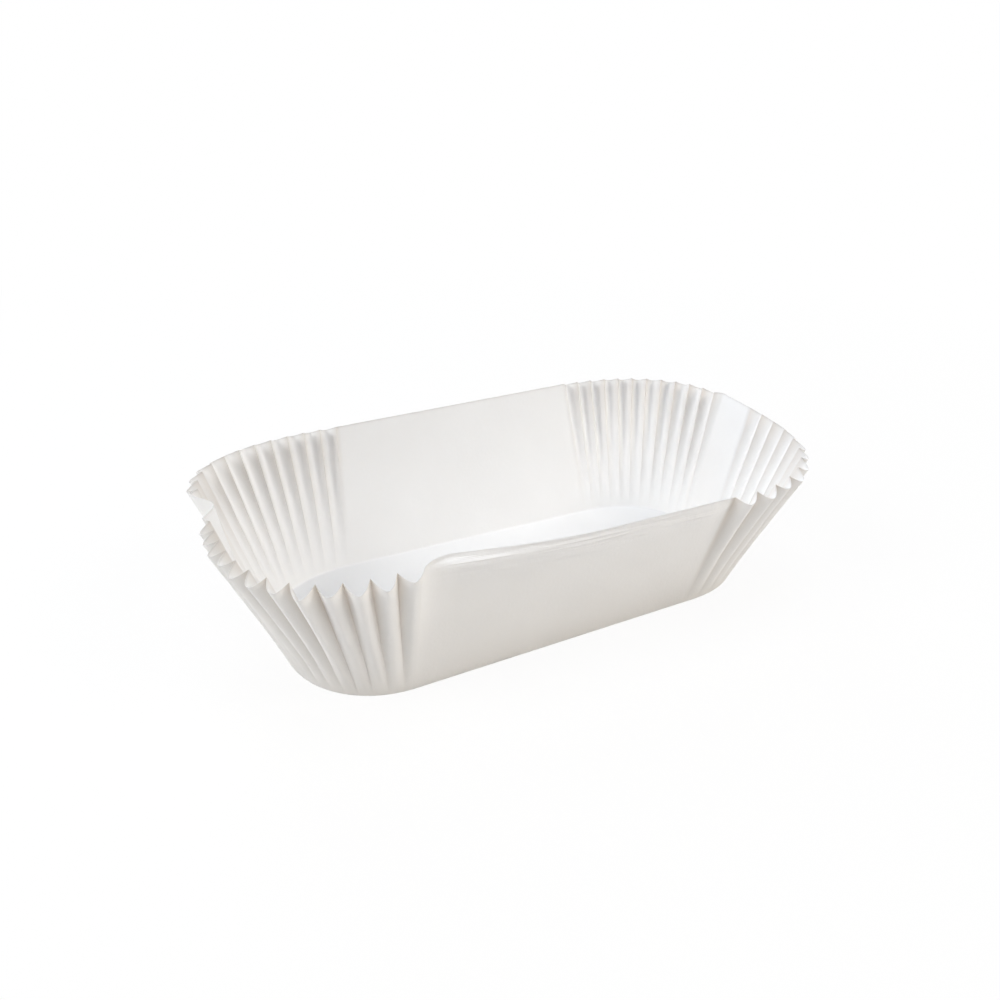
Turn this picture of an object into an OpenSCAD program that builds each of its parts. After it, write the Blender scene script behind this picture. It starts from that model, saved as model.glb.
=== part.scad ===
// Loaf pan liner: one sheet of greaseproof paper pressed to the shape of a loaf tin.
// The floor is flat, the four walls have plain panels, and the paper that is spare
// at the corners stands in flutes that fan out from the floor's edge to the rim.
// The liner has been handled: its two ends differ a little, one end has a dent, and
// the front panel's top edge has sprung in beside the left corner.
// X runs along the liner, Z is up, and the floor rests on Z = 0.

/* [Floor] */
// Length of the flat floor over its edge fold
floor_l = 201; // [176:1:215]
// Width of the flat floor at its left end
floor_w_left = 88.4; // [72:0.2:96]
// Width of the flat floor at its right end
floor_w_right = 85.2; // [72:0.2:96]
// How square the floor's front right corner is, where 2 is an ellipse
floor_front_right_fullness = 2.5; // [2:0.1:3]
// How square the floor's other three corners are, where 2 is an ellipse
floor_fullness = 2.1; // [2:0.1:3]
// Radius of the fold between the floor and the walls
edge_r = 1; // [0.6:0.2:3]

/* [Rim] */
// Length of the rim, between the outer lobes at the two ends
rim_l = 241; // [225:1:260]
// Distance of the front panel's top edge from the centre line, at its left end
front_rim_left = 59.6; // [52:0.2:66]
// Distance of the front panel's top edge from the centre line, at its right end
front_rim_right = 61.5; // [52:0.2:66]
// Distance of the back panel's top edge from the centre line, at its left end
back_rim_left = 57; // [52:0.2:66]
// Distance of the back panel's top edge from the centre line, at its right end
back_rim_right = 62; // [52:0.2:66]
// Height of the wall panels above the table
rim_h = 61; // [45:1:75]
// How far the outer lobes of the flutes lie below the panels at the rim
rim_scallop = 2.4; // [0:0.2:4]

/* [Panels] */
// Width of the plain front panel at the rim
front_panel_rim = 122; // [100:1:130]
// Width of the plain back panel at the rim
back_panel_rim = 113; // [100:1:130]
// Width of the plain front and back panels at the floor
long_panel_floor = 121; // [100:1:126]
// Width of each plain end panel at the rim
end_panel_rim = 18; // [12:1:30]
// Width of each plain end panel at the floor
end_panel_floor = 17; // [10:1:24]
// How far the end panels have slid towards the back at the rim
end_slide_rim = 12; // [0:1:16]
// How far the end panels have slid towards the back at the floor
end_slide_floor = 3; // [0:1:8]
// How far the front panel has slid towards the left at the rim
front_slide_rim = 2.5; // [0:0.5:5]
// How far the front panel has slid towards the left at the floor
front_slide_floor = 1.5; // [0:0.5:3]

/* [Flutes] */
// Number of flutes in each corner
flutes = 12; // [8:1:12]
// Depth of the front left corner's flutes at the rim, from inner fold to outer lobe
front_left_depth = 4.6; // [2:0.2:6]
// Depth of the front right corner's flutes at the rim
front_right_depth = 3.8; // [2:0.2:6]
// Depth of the two back corners' flutes at the rim
back_depth = 4.2; // [2:0.2:6]
// How much the depth differs from flute to flute, as a share of it
flute_vary = 0.12; // [0:0.02:0.3]
// How much wider the front corners' flutes are beside the front panel, as a share
flute_spread = 0.14; // [0:0.02:0.3]
// How square the front left corner is at the rim, where 2 is an ellipse
front_left_fullness = 2.9; // [2:0.1:3]
// How square the front right corner is at the rim, where 2 is an ellipse
front_right_fullness = 2.5; // [2:0.1:3]
// How square the back left corner is at the rim, where 2 is an ellipse
back_left_fullness = 2.5; // [2:0.1:3]
// How square the back right corner is at the rim, where 2 is an ellipse
back_right_fullness = 2.1; // [2:0.1:3]
// How far inside the panels the inner folds lie where a panel meets its flutes at an outer lobe
set_in = 3.3; // [0:0.1:4]

/* [Wear] */
// How far the front panel's top edge leans in beside the left corner
tuck_depth = 7.2; // [0:0.2:10]
// Distance of that lean's deepest place from the panel's left border
tuck_peak = 12; // [10:1:20]
// Length over which the lean dies away along the top edge
tuck_run = 50; // [30:1:80]
// How far the front panel's top edge curls in at its left end
curl_left = 2.8; // [0:0.2:5]
// How far the front panel's top edge curls in at its right end
curl_right = 1.5; // [0:0.1:4]
// Height of the curled strip at its left end
curl_h_left = 3.5; // [2:0.5:7]
// Height of the curled strip at its right end
curl_h_right = 8; // [7.5:0.5:14]
// How far the left end panel is pushed in at the rim
dent_depth = 6.5; // [0:0.5:9]
// Half the width of that dent along the rim
dent_half = 12; // [8:1:16]
// Distance of the dent's middle from the liner's centre line, towards the back
dent_y = 11; // [6:1:16]

/* [Paper] */
// Thickness of the paper
paper_t = 0.1; // [0.06:0.02:0.3]

/* [Hidden] */

paper_colour = [0.95, 0.945, 0.935];

// Faces along one flute, a long panel and an end panel
flute_faces = 6;
long_faces = 10;
end_faces = 5;

// Heights of the rows up the wall, as shares of it, with one at each end of the curl's foot
low_rows = [0.16, 0.4, 0.65];
wall_rows = concat(low_rows, [1 - curl_h_right / rim_h, 1 - curl_h_left / rim_h, 1]);

// Half a flute, from an inner fold to the top of an outer lobe
half_flute = 0.5;

// Share of a flute by which the front panel cuts into the front left corner's first lobe
panel_cut = 1 / 6;

// Angle by which the sizes of neighbouring flutes are out of step
flute_turn = 137;

// How fast the front panel's lean comes and goes along its top edge
lean_rise = 0.6;
lean_fall = 1.4;

// Least share of the paper's thickness that a sharp fold's mitre is worked out with
least_mitre = 0.5;

// The corners in order round the liner
FRONT_RIGHT = 0;
BACK_RIGHT = 1;
BACK_LEFT = 2;
FRONT_LEFT = 3;
corner_depths = [front_right_depth, back_depth, back_depth, front_left_depth];

// Where each corner begins at its long panel and ends at its end panel, counted in flutes
// from an inner fold. The front right corner ends at an inner fold, and the others at an
// outer lobe.
first_flute = [0, 0, 0, panel_cut];
last_flute = [flutes - 1, flutes - half_flute, flutes - half_flute, flutes + half_flute];
corner_counts = [for (corner = [0:3]) round((last_flute[corner] - first_flute[corner]) * flute_faces)];

// Where each corner's columns begin, and those of the front panel
corner_starts = [
    0,
    corner_counts[0] + end_faces,
    corner_counts[0] + corner_counts[1] + end_faces + long_faces,
    corner_counts[0] + corner_counts[1] + corner_counts[2] + 2 * end_faces + long_faces
];
front_panel_start = corner_starts[FRONT_LEFT] + corner_counts[FRONT_LEFT];

// A superellipse corner from a long panel's border to an end panel's border
function corner_curve(from, to, fullness, steps = 48) = [
    for (i = [0:steps])
        let (a = 90 * i / steps)
        [from.x + (to.x - from.x) * pow(sin(a), 2 / fullness),
         to.y + (from.y - to.y) * pow(cos(a), 2 / fullness)]
];

// Running length at each point of a curve
function running(curve, i = 0, sum = 0) =
    i >= len(curve) ? []
    : let (here = sum + (i == 0 ? 0 : norm(curve[i] - curve[i - 1])))
      concat([here], running(curve, i + 1, here));

// The same curve as steps along its length, without its last point. They are equal, or
// longer at the start by the share in wider.
function even_steps(curve, count, wider = 0) =
    let (at = running(curve),
         xs = [for (i = [0:len(curve) - 1]) [at[i], curve[i].x]],
         ys = [for (i = [0:len(curve) - 1]) [at[i], curve[i].y]],
         full = at[len(at) - 1])
    [for (i = [0:count - 1])
        let (share = i / count,
             along = full * (share + wider * share * (1 - share)))
        [lookup(along, xs), lookup(along, ys)]];

function reversed(list) = [for (i = [len(list) - 1:-1:0]) list[i]];

// The closed outline at one level, anticlockwise from the front right corner's long panel end.
// Each corner has the same number of points at every level, so that the levels join up.
// front and back hold a long panel's distance from the centre line at its left and right ends.
// inset is how far the flutes lie inside a panel that meets them at an outer lobe.
function outline(half_l, front, back, front_panel, back_panel, front_slide, end_panel, end_slide,
                 fullness, inset) =
    let (front_left_x = -front_panel / 2 - front_slide,
         front_right_x = front_panel / 2 - front_slide,
         back_x = back_panel / 2,
         front_y = end_slide - end_panel / 2,
         back_y = end_slide + end_panel / 2,
         front_right = corner_curve([front_right_x, -front[1]], [half_l, front_y], fullness[FRONT_RIGHT]),
         back_right = corner_curve([back_x, back[1]], [half_l - inset, back_y], fullness[BACK_RIGHT]),
         back_left = corner_curve([-back_x, back[0]], [inset - half_l, back_y], fullness[BACK_LEFT]),
         front_left = corner_curve([front_left_x, inset - front[0]], [inset - half_l, front_y],
                                   fullness[FRONT_LEFT]))
    concat(
        even_steps(front_right, corner_counts[FRONT_RIGHT], flute_spread),
        even_steps([[half_l, front_y], [half_l, back_y]], end_faces),
        even_steps(reversed(back_right), corner_counts[BACK_RIGHT]),
        even_steps([[back_x, back[1]], [-back_x, back[0]]], long_faces),
        even_steps(back_left, corner_counts[BACK_LEFT]),
        even_steps([[-half_l, back_y], [-half_l, front_y]], end_faces),
        even_steps(reversed(front_left), corner_counts[FRONT_LEFT], -flute_spread),
        even_steps([[front_left_x, -front[0]], [front_right_x, -front[1]]], long_faces));

function rim_outline(inset) =
    outline(rim_l / 2, [front_rim_left, front_rim_right], [back_rim_left, back_rim_right],
            front_panel_rim, back_panel_rim, front_slide_rim, end_panel_rim, end_slide_rim,
            [front_right_fullness, back_right_fullness, back_left_fullness, front_left_fullness], inset);

floor_sides = [floor_w_left / 2, floor_w_right / 2];
floor_line = outline(floor_l / 2, floor_sides, floor_sides, long_panel_floor, long_panel_floor,
                     front_slide_floor, end_panel_floor, end_slide_floor,
                     [floor_front_right_fullness, floor_fullness, floor_fullness, floor_fullness], 0);
rim_line = rim_outline(set_in);
columns = len(rim_line);

// Outward direction of an outline in plan
function outward(line, column) =
    let (count = len(line),
         along = line[(column + 1) % count] - line[(column + count - 1) % count])
    [along.y, -along.x] / norm(along);

plain_rim = rim_outline(0);
rim_outward = [for (column = [0:columns - 1]) outward(plain_rim, column)];
floor_outward = [for (column = [0:columns - 1]) outward(floor_line, column)];

// The corner that a column lies in, or -1 on a panel
function corner_of(column) =
    let (found = [for (corner = [0:3])
                     if (column >= corner_starts[corner]
                         && column < corner_starts[corner] + corner_counts[corner]) corner])
    len(found) == 0 ? -1 : found[0];

// A column's place in its corner, counted in flutes from the long panel's inner fold
function flute_place(corner, column) =
    let (steps = (column - corner_starts[corner]) / flute_faces)
    corner == FRONT_RIGHT || corner == BACK_LEFT ? first_flute[corner] + steps : last_flute[corner] - steps;

// A flute's size beside the others, so that no two neighbours are alike
function flute_size(corner, place) = 1 + flute_vary * sin(flute_turn * (flutes * corner + floor(place)));

// How far a column stands out in its flute: 0 on an inner fold and about 1 on an outer lobe.
// Inner folds are sharp and outer lobes are round.
function lobe(corner, place) = abs(sin(180 * place)) * flute_size(corner, place);

// How near a column is to the front panel in the front left corner's half lobe: 1 at the border
function front_border(corner, place) =
    corner != FRONT_LEFT || place >= half_flute ? 0
    : pow((half_flute - place) / (half_flute - first_flute[corner]), 2);

// Whether a column is in the half lobe where a corner ends level with an end panel
function end_border(corner, place) =
    corner != FRONT_RIGHT && place > last_flute[corner] - half_flute;

// How far a column stands outside the inner folds at the rim
function stand(column) =
    let (corner = corner_of(column))
    corner < 0 ? 0
    : let (place = flute_place(corner, column),
           depth = corner_depths[corner],
           near = front_border(corner, place),
           size = flute_size(corner, place))
      place < half_flute && corner == FRONT_LEFT ? depth * size + (set_in - depth * size) * near
      : end_border(corner, place) ? set_in * abs(sin(180 * place))
      : depth * lobe(corner, place);

// How far a column lies below the panels at the rim, as a share of the scallop
function dip(column) =
    let (corner = corner_of(column))
    corner < 0 ? 0
    : let (place = flute_place(corner, column))
      end_border(corner, place) ? 0
      : place < half_flute && corner == FRONT_LEFT
        ? flute_size(corner, place) * (1 - front_border(corner, place))
        : lobe(corner, place);

// A hump that is 1 in the middle and falls smoothly to 0 at -1 and 1
function hump(x) = abs(x) >= 1 ? 0 : pow(cos(90 * x), 2);

// A rise from 0 to 1 that starts and ends gently
function ease(x) =
    let (t = max(0, min(1, x)))
    t * t * (3 - 2 * t);

// How far the left end panel is pushed in at a column of the rim
function dent(column) =
    rim_line[column].x > -rim_l / 4 ? 0
    : dent_depth * hump((rim_line[column].y - dent_y) / dent_half);

// A column's place along the front panel, from 0 at its left border to 1 at its right one
function across_front(column) = max(0, (column - front_panel_start) / long_faces);

// How far the front panel leans in at a column of the rim: soon to its deepest, then slowly less
function tuck(column) =
    let (along = across_front(column) * front_panel_rim,
         rise = pow(sin(90 * min(1, along / tuck_peak)), lean_rise),
         fall = pow(max(0, min(1, 1 - (along - tuck_peak) / tuck_run)), lean_fall))
    tuck_depth * rise * fall;

// How far the front panel's top edge curls in at a column
function curl(column) =
    let (across = across_front(column),
         from_left = across * front_panel_rim / tuck_peak,
         from_right = (1 - across) * front_panel_rim / tuck_peak)
    (curl_left + (curl_right - curl_left) * across) * ease(from_left) * ease(from_right);

// How much of the curl a point has at a share of the wall's height
function curl_share(column, share) =
    let (across = across_front(column),
         height = curl_h_left + (curl_h_right - curl_h_left) * across,
         up = max(0, 1 - (1 - share) * rim_h / height))
    pow(up, 1 + across);

// A point of the paper's outer face. The flutes grow evenly from nothing at the floor.
function wall_point(column, share) =
    let (low = floor_line[column],
         high = rim_line[column],
         bend = curl(column),
         reach = stand(column) * share
                 - (dent(column) + tuck(column) - bend) * pow(share, 2)
                 - bend * curl_share(column, share),
         plan = low + (high - low) * share + rim_outward[column] * reach,
         rise = edge_r + (rim_h - edge_r) * share)
    [plan.x, plan.y, rise - rim_scallop * dip(column) * pow(share, 2)];

// The row on the table, inside the edge fold
function floor_row() = [
    for (column = [0:columns - 1])
        let (plan = floor_line[column] - floor_outward[column] * edge_r)
        [plan.x, plan.y, 0]
];

// The row half way round the edge fold
function fold_row() = [
    for (column = [0:columns - 1])
        let (plan = floor_line[column] - floor_outward[column] * edge_r * (1 - sin(45)))
        [plan.x, plan.y, edge_r * (1 - cos(45))]
];

outer_rows = concat(
    [floor_row(), fold_row(), [for (column = [0:columns - 1]) wall_point(column, 0)]],
    [for (share = wall_rows) [for (column = [0:columns - 1]) wall_point(column, share)]]);
rows = len(outer_rows);

// The middle of the liner's rim in plan, which is moved to the origin
rim_row = outer_rows[rows - 1];
rim_x = [for (point = rim_row) point.x];
rim_y = [for (point = rim_row) point.y];
middle = [(min(rim_x) + max(rim_x)) / 2, (min(rim_y) + max(rim_y)) / 2, 0];

function unit(v) = v / norm(v);

// Inward direction of the face between a point and the next column, next row
function face_inward(row, column) =
    let (up = row < rows - 1 ? row : row - 1,
         here = outer_rows[up][column])
    unit(cross(outer_rows[up + 1][column] - here, outer_rows[up][(column + 1) % columns] - here));

// The inner face's point: the paper's thickness inside the outer one, mitred at folds
function inner_point(row, column) =
    let (here = outer_rows[row][column],
         before = face_inward(row, (column + columns - 1) % columns),
         after = face_inward(row, column),
         between = unit(before + after),
         mitre = max(least_mitre, between * after))
    row == 0 ? here + [0, 0, paper_t] : here + between * paper_t / mitre;

inner_rows = [for (row = [0:rows - 1]) [for (column = [0:columns - 1]) inner_point(row, column)]];

// All the points: the outer rows, the inner rows, then the middle of the floor below and above
function flat_list(lists) = [for (list = lists) for (item = list) item];
sheet_points = concat(flat_list(outer_rows), flat_list(inner_rows), [middle, middle + [0, 0, paper_t]]);

inner_start = rows * columns;
floor_below = 2 * inner_start;
floor_above = floor_below + 1;

function quad(a, b, c, d) = [[a, b, c], [a, c, d]];

sheet_faces = flat_list(concat(
    [for (row = [0:rows - 2]) for (column = [0:columns - 1])
        let (next = (column + 1) % columns,
             a = row * columns + column,
             b = row * columns + next)
        quad(a, a + columns, b + columns, b)],
    [for (row = [0:rows - 2]) for (column = [0:columns - 1])
        let (next = (column + 1) % columns,
             a = inner_start + row * columns + column,
             b = inner_start + row * columns + next)
        quad(a, b, b + columns, a + columns)],
    [for (column = [0:columns - 1])
        let (next = (column + 1) % columns,
             top = (rows - 1) * columns)
        quad(top + column, inner_start + top + column, inner_start + top + next, top + next)],
    [for (column = [0:columns - 1])
        let (next = (column + 1) % columns)
        [[floor_below, column, next],
         [floor_above, inner_start + next, inner_start + column]]]));

module liner() {
    color(paper_colour)
    translate(-middle)
    polyhedron(points = sheet_points, faces = sheet_faces, convexity = 20);
}

liner();
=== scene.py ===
import math

import bpy
import numpy as np
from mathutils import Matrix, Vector


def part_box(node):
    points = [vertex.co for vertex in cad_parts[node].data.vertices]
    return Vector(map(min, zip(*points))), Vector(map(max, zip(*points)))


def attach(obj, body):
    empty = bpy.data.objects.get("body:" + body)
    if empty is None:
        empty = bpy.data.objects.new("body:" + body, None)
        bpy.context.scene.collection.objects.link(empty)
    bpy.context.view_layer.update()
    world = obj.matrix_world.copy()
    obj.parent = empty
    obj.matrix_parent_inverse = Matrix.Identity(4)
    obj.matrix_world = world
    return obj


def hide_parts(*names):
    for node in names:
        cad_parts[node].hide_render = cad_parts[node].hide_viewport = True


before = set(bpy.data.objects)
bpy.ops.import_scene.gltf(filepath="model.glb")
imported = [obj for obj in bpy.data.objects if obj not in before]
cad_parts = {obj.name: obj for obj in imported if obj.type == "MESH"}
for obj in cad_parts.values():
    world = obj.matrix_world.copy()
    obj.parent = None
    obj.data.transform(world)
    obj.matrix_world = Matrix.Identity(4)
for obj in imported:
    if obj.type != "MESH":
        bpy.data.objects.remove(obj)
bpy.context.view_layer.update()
scene = bpy.context.scene
scene.view_settings.view_transform = "Standard"

MM = 0.001


# Camera
# A wide lens close above the front left corner, turned a little on its axis, as the
# photograph's lines give it. The shift puts the liner where it lies in the frame.
picture_px = 1000
focal_px = 826.0
principal_px = (522.9, 541.1)
camera_azimuth = math.radians(-28.4)
camera_elevation = math.radians(32.0)
camera_roll = math.radians(2.0)
camera_distance = 351.2 * MM
camera_target = Vector((3.2, 1.55, 20.0)) * MM
camera_nearest = 10 * MM
sensor_mm = 36.0

camera_data = bpy.data.cameras.new("camera")
camera_data.sensor_width = sensor_mm
camera_data.lens = focal_px / picture_px * sensor_mm
camera_data.shift_x = (picture_px / 2 - principal_px[0]) / picture_px
camera_data.shift_y = (principal_px[1] - picture_px / 2) / picture_px
camera_data.clip_start = camera_nearest
camera = bpy.data.objects.new("camera", camera_data)
scene.collection.objects.link(camera)
towards_camera = Vector((
    math.sin(camera_azimuth) * math.cos(camera_elevation),
    -math.cos(camera_azimuth) * math.cos(camera_elevation),
    math.sin(camera_elevation)))
camera.location = camera_target + towards_camera * camera_distance
level = (-towards_camera).to_track_quat("-Z", "Y").to_matrix()
right = level.col[0].copy()
up = level.col[1].copy()
rolled_right = right * math.cos(camera_roll) + up * math.sin(camera_roll)
rolled_up = up * math.cos(camera_roll) - right * math.sin(camera_roll)
rotation = level.copy()
rotation.col[0] = rolled_right
rotation.col[1] = rolled_up
rotation.col[2] = towards_camera
camera.rotation_mode = "QUATERNION"
camera.rotation_quaternion = rotation.to_quaternion()
scene.camera = camera


# Liner
# One sheet of white greaseproof paper, pressed to the shape of a loaf tin. Its floor is
# flat, its panels are plain, and the spare paper at the corners stands in pressed flutes.
# It has been handled: one end is dented and the front panel's top edge has sprung in.
paper_t = 0.1 * MM
floor_l = 201 * MM
floor_w_left = 88.4 * MM
floor_w_right = 85.2 * MM
floor_front_right_fullness = 2.5
floor_fullness = 2.1
edge_r = 1 * MM
rim_l = 241 * MM
front_rim_left = 59.6 * MM
front_rim_right = 61.5 * MM
back_rim_left = 57 * MM
back_rim_right = 62 * MM
above_rim = 0.07 * MM
rim_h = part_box("liner")[1].z - above_rim
rim_scallop = 2.4 * MM
front_panel_rim = 122 * MM
back_panel_rim = 113 * MM
long_panel_floor = 121 * MM
end_panel_rim = 18 * MM
end_panel_floor = 17 * MM
end_slide_rim = 12 * MM
end_slide_floor = 3 * MM
front_slide_rim = 2.5 * MM
front_slide_floor = 1.5 * MM
flutes = 12
flute_vary = 0.12
flute_vary_turn = 137
flute_spread = 0.14
set_in = 3.3 * MM
tuck_depth = 7.2 * MM
tuck_peak = 12 * MM
tuck_run = 50 * MM
tuck_rise_power = 0.6
tuck_fall_power = 1.4
curl_left = 2.8 * MM
curl_right = 1.5 * MM
curl_h_left = 3.5 * MM
curl_h_right = 8 * MM
dent_depth = 6.5 * MM
dent_half = 12 * MM
dent_y = 11 * MM
left_end_x = -rim_l / 4

# The corners in order round the liner, each with its flutes' depth and how square it is at
# the rim. A corner's flutes are counted from its long panel, from an inner fold.
corners = front_right, back_right, back_left, front_left = range(4)
corner_depth = np.array([3.8, 4.2, 4.2, 4.6]) * MM
corner_fullness = (2.5, 2.1, 2.5, 2.9)
half_flute = 0.5
first_flute = (0, 0, 0, 1 / 6)
last_flute = (flutes - 1, flutes - half_flute, flutes - half_flute, flutes + half_flute)

flute_faces = 18
long_faces = 60
end_faces = 14
wall_rows = 36
wall_row_power = 1.5
fold_rows = 3
floor_rings = 4
sharp_angle = math.radians(60)
corner_columns = [round((last_flute[corner] - first_flute[corner]) * flute_faces) for corner in corners]


def corner_curve(start, end, fullness, steps=400):
    """A superellipse corner from a long panel's border to an end panel's border."""
    angle = np.linspace(0, math.pi / 2, steps + 1)
    x = start[0] + (end[0] - start[0]) * np.sin(angle) ** (2 / fullness)
    y = end[1] + (start[1] - end[1]) * np.abs(np.cos(angle)) ** (2 / fullness)
    return np.stack([x, y], -1)


def even_steps(curve, count, wider=0.0):
    """A curve in steps along its length, without its last point, the first ones longer by a share."""
    curve = np.asarray(curve, float)
    steps = np.linalg.norm(np.diff(curve, axis=0), axis=1)
    at = np.concatenate([[0], np.cumsum(steps)])
    share = np.arange(count) / count
    wanted = at[-1] * (share + wider * share * (1 - share))
    return np.stack([np.interp(wanted, at, curve[:, 0]), np.interp(wanted, at, curve[:, 1])], -1)


def outline(half_l, front, back, front_panel, back_panel, front_slide, end_panel, end_slide, fullness, inset):
    """The closed outline at one level, anticlockwise from the front right corner's long panel end."""
    front_left_x = -front_panel / 2 - front_slide
    front_right_x = front_panel / 2 - front_slide
    back_x = back_panel / 2
    front_y = end_slide - end_panel / 2
    back_y = end_slide + end_panel / 2
    curves = [
        corner_curve((front_right_x, -front[1]), (half_l, front_y), fullness[front_right]),
        corner_curve((back_x, back[1]), (half_l - inset, back_y), fullness[back_right])[::-1],
        corner_curve((-back_x, back[0]), (inset - half_l, back_y), fullness[back_left]),
        corner_curve((front_left_x, inset - front[0]), (inset - half_l, front_y), fullness[front_left])[::-1]]
    panels = [
        [(half_l, front_y), (half_l, back_y)],
        [(back_x, back[1]), (-back_x, back[0])],
        [(-half_l, back_y), (-half_l, front_y)],
        [(front_left_x, -front[0]), (front_right_x, -front[1])]]
    wider = (flute_spread, 0, 0, -flute_spread)
    pieces = []
    for corner in corners:
        pieces.append(even_steps(curves[corner], corner_columns[corner], wider[corner]))
        pieces.append(even_steps(panels[corner], (end_faces, long_faces)[corner % 2]))
    return np.concatenate(pieces)


def rim_outline(inset):
    """The outline at the rim."""
    return outline(rim_l / 2, (front_rim_left, front_rim_right), (back_rim_left, back_rim_right),
                   front_panel_rim, back_panel_rim, front_slide_rim, end_panel_rim, end_slide_rim,
                   corner_fullness, inset)


def outward(line):
    """Outward directions of an outline in plan."""
    along = np.roll(line, -1, axis=0) - np.roll(line, 1, axis=0)
    normal = np.stack([along[:, 1], -along[:, 0]], -1)
    return normal / np.linalg.norm(normal, axis=1)[:, None]


def ease(x):
    """A rise from 0 to 1 that starts and ends gently."""
    x = np.clip(x, 0, 1)
    return x * x * (3 - 2 * x)


floor_sides = (floor_w_left / 2, floor_w_right / 2)
floor_line = outline(floor_l / 2, floor_sides, floor_sides, long_panel_floor, long_panel_floor,
                     front_slide_floor, end_panel_floor, end_slide_floor,
                     (floor_front_right_fullness, floor_fullness, floor_fullness, floor_fullness), 0)
rim_line = rim_outline(set_in)
rim_outward = outward(rim_outline(0))
floor_outward = outward(floor_line)
columns = len(rim_line)

# How far each column stands outside the inner folds at the rim, how far it dips below the
# panels there as a share of the scallop, and how creased it is. Inner folds are sharp and
# outer lobes round, and a corner can meet a panel in a half lobe that is level with it.
stand = np.zeros(columns)
dip = np.zeros(columns)
crease = np.zeros(columns)
begin = 0
for corner in corners:
    count = corner_columns[corner]
    here = slice(begin, begin + count)
    steps = np.arange(count) / flute_faces
    counts_up = corner in (front_right, back_left)
    place = first_flute[corner] + steps if counts_up else last_flute[corner] - steps
    turn = np.radians(flute_vary_turn * (flutes * corner + np.floor(place)))
    size = 1 + flute_vary * np.sin(turn)
    profile = np.abs(np.sin(math.pi * place))
    dip[here] = profile * size
    stand[here] = dip[here] * corner_depth[corner]
    crease[here] = (1 - profile) ** 2
    if corner != front_right:
        border = place > last_flute[corner] - half_flute
        stand[here] = np.where(border, set_in * profile, stand[here])
        dip[here] = np.where(border, 0, dip[here])
    if corner == front_left:
        near = ((half_flute - place) / (half_flute - first_flute[corner])) ** 2
        full = corner_depth[corner] * size
        stand[here] = np.where(place < half_flute, full + (set_in - full) * near, stand[here])
        dip[here] = np.where(place < half_flute, size * (1 - near), dip[here])
    begin += count + (end_faces, long_faces)[corner % 2]
front_panel_start = columns - long_faces

# The wear at the rim: the dent in the left end panel, the front panel's lean beside the left
# corner, and the curl along its top edge.
dent_place = np.clip((rim_line[:, 1] - dent_y) / dent_half, -1, 1)
dent_shape = np.cos(dent_place * math.pi / 2) ** 2
dent = np.where(rim_line[:, 0] < left_end_x, dent_depth * dent_shape, 0)
across_front = np.clip((np.arange(columns) - front_panel_start) / long_faces, 0, 1)
along_front = across_front * front_panel_rim
tuck_rise = np.sin(math.pi / 2 * np.clip(along_front / tuck_peak, 0, 1)) ** tuck_rise_power
tuck_fall = np.clip(1 - (along_front - tuck_peak) / tuck_run, 0, 1) ** tuck_fall_power
tuck = tuck_depth * tuck_rise * tuck_fall
curl_ends = ease(along_front / tuck_peak) * ease((front_panel_rim - along_front) / tuck_peak)
curl = (curl_left + (curl_right - curl_left) * across_front) * curl_ends
curl_h = curl_h_left + (curl_h_right - curl_h_left) * across_front


def wall_row(share):
    """The paper's outer face at a share of the wall's height."""
    curled = np.clip(1 - (1 - share) * rim_h / curl_h, 0, 1) ** (1 + across_front)
    reach = stand * share - (dent + tuck - curl) * share ** 2 - curl * curled
    plan = floor_line + (rim_line - floor_line) * share + rim_outward * reach[:, None]
    rise = edge_r + (rim_h - edge_r) * share - rim_scallop * dip * share ** 2
    return np.concatenate([plan, rise[:, None]], 1)


def fold_row(angle):
    """A row in the fold between the floor and the walls, from 0 on the floor to a quarter turn."""
    plan = floor_line - floor_outward * edge_r * (1 - math.sin(angle))
    rise = np.full(columns, edge_r * (1 - math.cos(angle)))
    return np.concatenate([plan, rise[:, None]], 1)


# The rows stand closer together towards the rim, where the curl is.
rows = [fold_row(math.pi / 2 * step / fold_rows) for step in range(fold_rows)]
rows += [wall_row(1 - (1 - step / wall_rows) ** wall_row_power) for step in range(wall_rows + 1)]
outer = np.array(rows)
outer_low, outer_high = outer[-1].min(axis=0), outer[-1].max(axis=0)
outer -= ((outer_low[0] + outer_high[0]) / 2, (outer_low[1] + outer_high[1]) / 2, 0)
row_count = len(outer)
along = np.roll(outer, -1, axis=1) - np.roll(outer, 1, axis=1)
upward = np.gradient(outer, axis=0)
inward = np.cross(upward, along)
inward /= np.linalg.norm(inward, axis=2)[:, :, None]
inward[0] = (0, 0, 1)
inner = outer + inward * paper_t

# The floor's rings shrink from the fold to the middle, below and above.
floor_outer = [outer[0] * (1 - ring / floor_rings) for ring in range(1, floor_rings)]
floor_inner = [np.stack([ring[:, 0], ring[:, 1], np.full(columns, paper_t)], -1) for ring in floor_outer]

points = np.concatenate([outer.reshape(-1, 3), inner.reshape(-1, 3)]
                        + floor_outer + floor_inner + [[[0, 0, 0], [0, 0, paper_t]]])
faces = []


def ring_faces(low, high, flipped):
    """Quads between two closed rows of points, given by where each row begins."""
    for column in range(columns):
        following = (column + 1) % columns
        face = (low + column, low + following, high + following, high + column)
        faces.append(face[::-1] if flipped else face)


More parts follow.
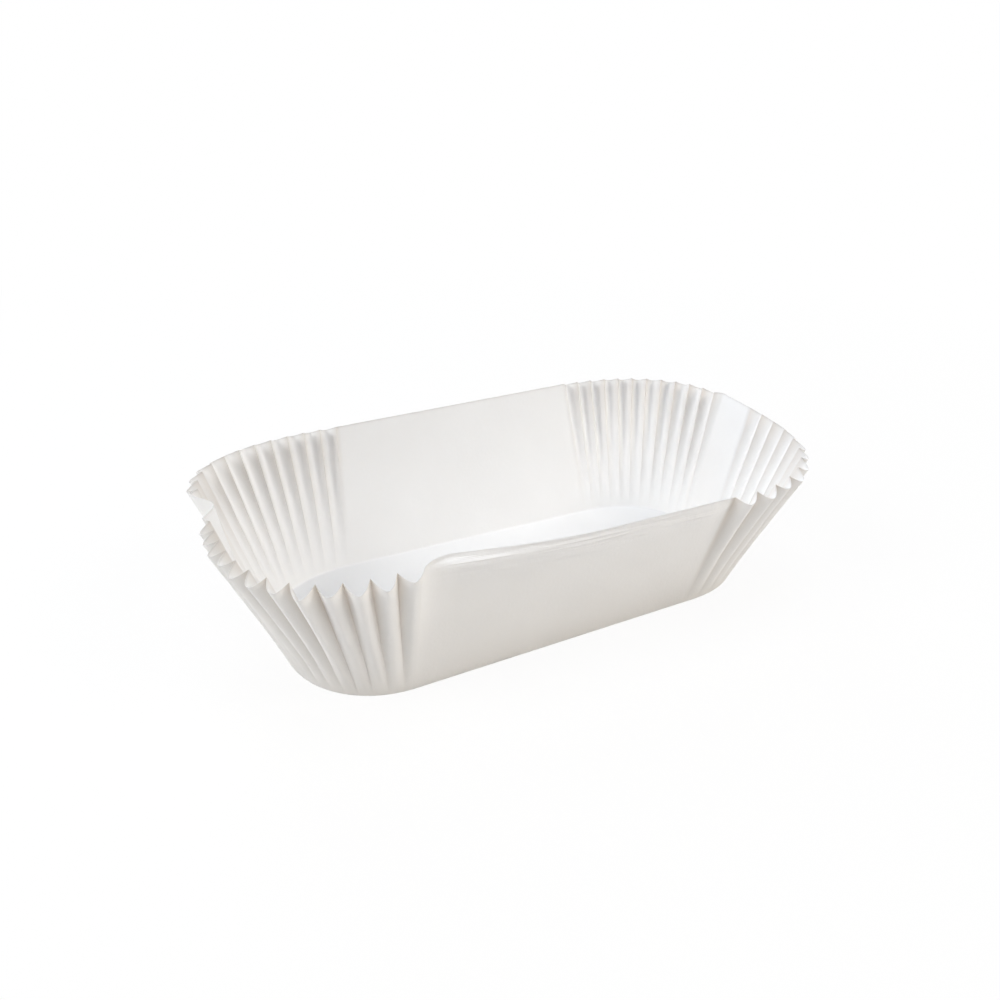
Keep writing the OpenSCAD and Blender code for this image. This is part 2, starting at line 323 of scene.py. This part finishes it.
inner_start = row_count * columns
floor_outer_start = 2 * inner_start
floor_inner_start = floor_outer_start + (floor_rings - 1) * columns
centre_below = floor_inner_start + (floor_rings - 1) * columns
for row in range(row_count - 1):
    ring_faces(row * columns, (row + 1) * columns, False)
    ring_faces(inner_start + row * columns, inner_start + (row + 1) * columns, True)
ring_faces((row_count - 1) * columns, inner_start + (row_count - 1) * columns, False)
below = [0] + [floor_outer_start + ring * columns for ring in range(floor_rings - 1)]
above = [inner_start] + [floor_inner_start + ring * columns for ring in range(floor_rings - 1)]
for ring in range(floor_rings - 1):
    ring_faces(below[ring], below[ring + 1], True)
    ring_faces(above[ring], above[ring + 1], False)
for column in range(columns):
    following = (column + 1) % columns
    faces.append((below[-1] + following, below[-1] + column, centre_below))
    faces.append((above[-1] + column, above[-1] + following, centre_below + 1))

liner_mesh = bpy.data.meshes.new("paper_liner")
liner_mesh.from_pydata(points.tolist(), [], faces)
liner_mesh.validate()
for polygon in liner_mesh.polygons:
    polygon.use_smooth = True
liner_mesh.set_sharp_from_angle(angle=sharp_angle)

# Masks on the paper's points, each with its share on the outer and the inner face: painted
# shade along the inner folds, most of all near the rim; a grey band on the cut edge, partly the
# edge's own tone and partly painted shade; and the strip of the front panel that the curl has
# creased, whose streaks are bump and whose lighter colour is a painted highlight.
cut_edge_and_painted_shade_h = 0.9 * MM
strip_h = 13 * MM
painted_fold_shade_h = 1.05 * rim_h
painted_fold_shade_power = 1.5
painted_fold_shade_shares = (0.62, 0.3)
cut_edge_and_painted_shade_shares = (0.1, 0.55)
strip_shares = (1.0, 0.0)
below_rim = rim_h - outer[:, :, 2]
below_edge = outer[-1, :, 2] - outer[:, :, 2]
painted_fold_shade_fade = np.clip((painted_fold_shade_h - below_rim) / rim_h, 0, 1) ** painted_fold_shade_power
cut_edge_and_painted_shade_fade = np.clip(1 - below_edge / cut_edge_and_painted_shade_h, 0, 1)
strip_fade = curl_ends * ease(1 - below_rim / strip_h) * (across_front > 0)
paper_masks = {
    "painted_fold_shade": (crease * painted_fold_shade_fade, *painted_fold_shade_shares),
    "cut_edge_and_painted_shade": (cut_edge_and_painted_shade_fade, *cut_edge_and_painted_shade_shares),
    "strip": (strip_fade, *strip_shares)}
unmasked = np.zeros(len(points) - 2 * row_count * columns)
for mask_name, (mask, outer_share, inner_share) in paper_masks.items():
    values = np.concatenate([mask.ravel() * outer_share, mask.ravel() * inner_share, unmasked])
    layer = liner_mesh.attributes.new(mask_name, "FLOAT", "POINT")
    layer.data.foreach_set("value", values.astype(np.float32))
liner = bpy.data.objects.new("paper_liner", liner_mesh)
scene.collection.objects.link(liner)


class Field:
    """A shader socket that Python's operators work on."""

    tree = None

    def __init__(self, socket):
        self.socket = socket

    @classmethod
    def node(cls, kind, settings=None, **inputs):
        """A node of a type, with its settings and its sockets' values or links."""
        made = cls.tree.nodes.new(kind)
        for name, value in (settings or {}).items():
            setattr(made, name, value)
        for name, value in inputs.items():
            key = name.replace("_", " ")
            socket = made.inputs[int(key[1:])] if key[0] == "i" and key[1:].isdigit() else made.inputs[key]
            cls.feed(socket, value)
        return made

    @classmethod
    def feed(cls, socket, value):
        """A value or a link into a socket."""
        if isinstance(value, cls):
            cls.tree.links.new(value.socket, socket)
        else:
            socket.default_value = value

    @classmethod
    def maths(cls, operation, *values):
        """A Math node on numbers or fields."""
        inputs = {f"i{place}": value for place, value in enumerate(values)}
        return cls(cls.node("ShaderNodeMath", {"operation": operation}, **inputs).outputs[0])

    def __add__(self, other):
        return self.maths("ADD", self, other)

    __radd__ = __add__

    def __mul__(self, other):
        return self.maths("MULTIPLY", self, other)

    __rmul__ = __mul__

    def __rsub__(self, other):
        return self.maths("SUBTRACT", other, self)


def new_material(name):
    """An empty node material, with its tree made the one that fields are added to."""
    material = bpy.data.materials.new(name)
    material.use_nodes = True
    material.node_tree.nodes.clear()
    Field.tree = material.node_tree
    return material


def object_place():
    """The place on the object, in its own metres."""
    return Field(Field.node("ShaderNodeTexCoord").outputs["Object"])


def noise(at, scale, detail):
    """Noise from 0 to 1 at a place."""
    made = Field.node("ShaderNodeTexNoise", None, Vector=at, Scale=scale, Detail=detail)
    return Field(made.outputs["Fac"])


def point_mask(name):
    """A mask that is kept on the mesh's points."""
    return Field(Field.node("ShaderNodeAttribute", {"attribute_name": name}).outputs["Fac"])


def tinted(colour, tint, share):
    """A colour mixed towards a tint by a share that varies over the surface."""
    mix = Field.node("ShaderNodeMix", {"data_type": "RGBA"}, i0=share, i6=colour, i7=tint)
    return Field(mix.outputs[2])


def blended(share, first, second):
    """The surface of a material: two shaders mixed by a share."""
    mix = Field.node("ShaderNodeMixShader", None, i0=share, i1=Field(first.outputs[0]),
                     i2=Field(second.outputs[0]))
    Field.node("ShaderNodeOutputMaterial", None, Surface=Field(mix.outputs[0]))


# The paper: white and slightly mottled, with painted shade that makes it brownish in the folds,
# a grey cut edge that is partly its own tone and partly painted shade, and a painted highlight
# that makes the creased strip lighter. It lets part of the light through. Its fibre, its waves
# and the streaks of the creased strip are bump, whose shares are in millimetres.
paper_colour = (0.93, 0.927, 0.92, 1)
mottle_colour = (0.87, 0.865, 0.855, 1)
# A painted highlight: the creased strip is made lighter where its curl faces the light.
strip_painted_highlight_colour = (0.98, 0.98, 0.98, 1)
# Painted shade: the brown that the inner folds are tinted with.
painted_fold_shade_colour = (0.66, 0.56, 0.45, 1)
# The cut edge's grey: partly the paper's own tone at the edge and partly painted shade.
cut_edge_and_painted_shade_colour = (0.5, 0.48, 0.46, 1)
through_colour = (0.97, 0.93, 0.88, 1)
through_share = 0.33
fibre_scale = 900.0
fibre_detail = 4.0
fibre_bump = 0.05
cloud_scale = 45.0
cloud_detail = 3.0
cloud_bump = 0.08
wave_scale = 22.0
wave_detail = 1.0
wave_bump = 0.7
streak_scale = (22.0, 0.0, 600.0)
streak_detail = 2.0
bump_distance = 2.0
roughness = 0.62
roughness_vary = 0.1
specular_level = 0.35
paper = new_material("greaseproof_paper")
paper_place = object_place()
fibre = noise(paper_place, fibre_scale, fibre_detail)
cloud = noise(paper_place, cloud_scale, cloud_detail)
wave = noise(paper_place, wave_scale, wave_detail)
painted_fold_shade, cut_edge_and_painted_shade, strip = [point_mask(mask_name) for mask_name in paper_masks]
stretched = Field.node("ShaderNodeVectorMath", {"operation": "MULTIPLY"}, i0=paper_place, i1=streak_scale)
streak = noise(Field(stretched.outputs[0]), 1.0, streak_detail)
surface = (fibre * fibre_bump + cloud * cloud_bump + wave * wave_bump + strip * streak) * MM
bump = Field.node("ShaderNodeBump", None, Strength=1.0, Distance=bump_distance, Height=surface)
colour = tinted(paper_colour, mottle_colour, cloud)
# Painted highlight on the creased strip.
colour = tinted(colour, strip_painted_highlight_colour, strip)
# Painted shade in the folds.
colour = tinted(colour, painted_fold_shade_colour, painted_fold_shade)
# Grey on the cut edge, partly its own tone and partly painted shade.
colour = tinted(colour, cut_edge_and_painted_shade_colour, cut_edge_and_painted_shade)
shader = Field.node("ShaderNodeBsdfPrincipled", None, Normal=Field(bump.outputs["Normal"]),
                    Base_Color=colour, Roughness=roughness + roughness_vary * cloud)
shader.inputs["Specular IOR Level"].default_value = specular_level
through = Field.node("ShaderNodeBsdfTranslucent", None, Color=through_colour)
blended(through_share, shader, through)
liner_mesh.materials.append(paper)

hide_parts("liner")
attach(liner, "root")


# Floor
# A wide, plain, pale floor under the liner. The camera, a mirror or clear glass sees it near
# white with a faint shadow, and pure white farther away. The light that it throws back onto
# the paper comes from its own colour.
floor_size = 40.0
floor_colour = (0.76, 0.73, 0.69, 1)
floor_white = 0.93
shadow_reach = 0.25
shadow_end = 0.6
floor_drop = 0.02 * MM
floor_mesh = bpy.data.meshes.new("floor")
half_floor = floor_size / 2
floor_mesh.from_pydata(
    [(-half_floor, -half_floor, 0), (half_floor, -half_floor, 0),
     (half_floor, half_floor, 0), (-half_floor, half_floor, 0)], [], [(0, 1, 2, 3)])
studio_floor = bpy.data.objects.new("floor", floor_mesh)
studio_floor.location.z = -floor_drop
scene.collection.objects.link(studio_floor)


def seen_directly():
    """1 for rays that come straight from the camera, from a mirror or through glass, and 0 for the rest."""
    ray = Field.node("ShaderNodeLightPath")
    clear = Field(ray.outputs["Is Transmission Ray"]) * (1 - Field(ray.outputs["Is Diffuse Ray"]))
    direct = Field.maths("MAXIMUM", Field(ray.outputs["Is Camera Ray"]), Field(ray.outputs["Is Glossy Ray"]))
    return Field.maths("MAXIMUM", direct, clear)


floor_material = new_material("white_floor")
away = Field.node("ShaderNodeVectorMath", {"operation": "LENGTH"}, i0=object_place())
far = Field.node("ShaderNodeMapRange", None, i0=Field(away.outputs["Value"]), i1=shadow_reach, i2=shadow_end)
white_share = floor_white + (1 - floor_white) * Field(far.outputs[0])
matt = Field.node("ShaderNodeBsdfDiffuse", None, Color=floor_colour)
glow = Field.node("ShaderNodeEmission", None, Color=(1, 1, 1, 1), Strength=1.0)
blended(seen_directly() * white_share, matt, glow)
floor_mesh.materials.append(floor_material)


# Light
# Broad soft lamps round the liner: a high one on the left, a fill in front, and weaker ones
# behind and above, some of them low so that they shine through the paper. The room itself
# gives no light and is seen white. Each lamp has its azimuth from the front towards the
# right, its elevation, its power in watts and its tone.
lamp_distance = 1.5
lamp_size = 0.7
white = (0.98, 1.0, 1.02)
cool = (0.88, 0.98, 1.14)
warm = (1.04, 1.0, 0.94)
lamps = (
    ("left_high", 270, 38, 15.3, white),
    ("front_fill", 45, 40, 11.6, warm),
    ("front_low", 15, 15, 1.6, warm),
    ("right_back_low", 130, 12, 6.4, cool),
    ("back_low", 180, 12, 4.9, cool),
    ("left_back_low", 225, 12, 4.4, cool),
    ("back_high", 180, 45, 5.2, cool),
    ("top", 0, 90, 8.2, cool))
for lamp_name, azimuth, elevation, energy, tone in lamps:
    turn, lift = math.radians(azimuth), math.radians(elevation)
    lamp_data = bpy.data.lights.new(lamp_name, "AREA")
    lamp_data.shape = "SQUARE"
    lamp_data.size = lamp_size
    lamp_data.energy = energy
    lamp_data.color = tone
    lamp = bpy.data.objects.new(lamp_name, lamp_data)
    lamp.location = lamp_distance * Vector((
        math.sin(turn) * math.cos(lift), -math.cos(turn) * math.cos(lift), math.sin(lift)))
    lamp.rotation_mode = "QUATERNION"
    lamp.rotation_quaternion = Vector(lamp.location).to_track_quat("Z", "Y")
    scene.collection.objects.link(lamp)

room = bpy.data.worlds.new("room")
room.use_nodes = True
room.node_tree.nodes.clear()
Field.tree = room.node_tree
sky = Field.node("ShaderNodeBackground", None, Color=(1, 1, 1, 1), Strength=seen_directly())
Field.node("ShaderNodeOutputWorld", None, Surface=Field(sky.outputs[0]))
scene.world = room
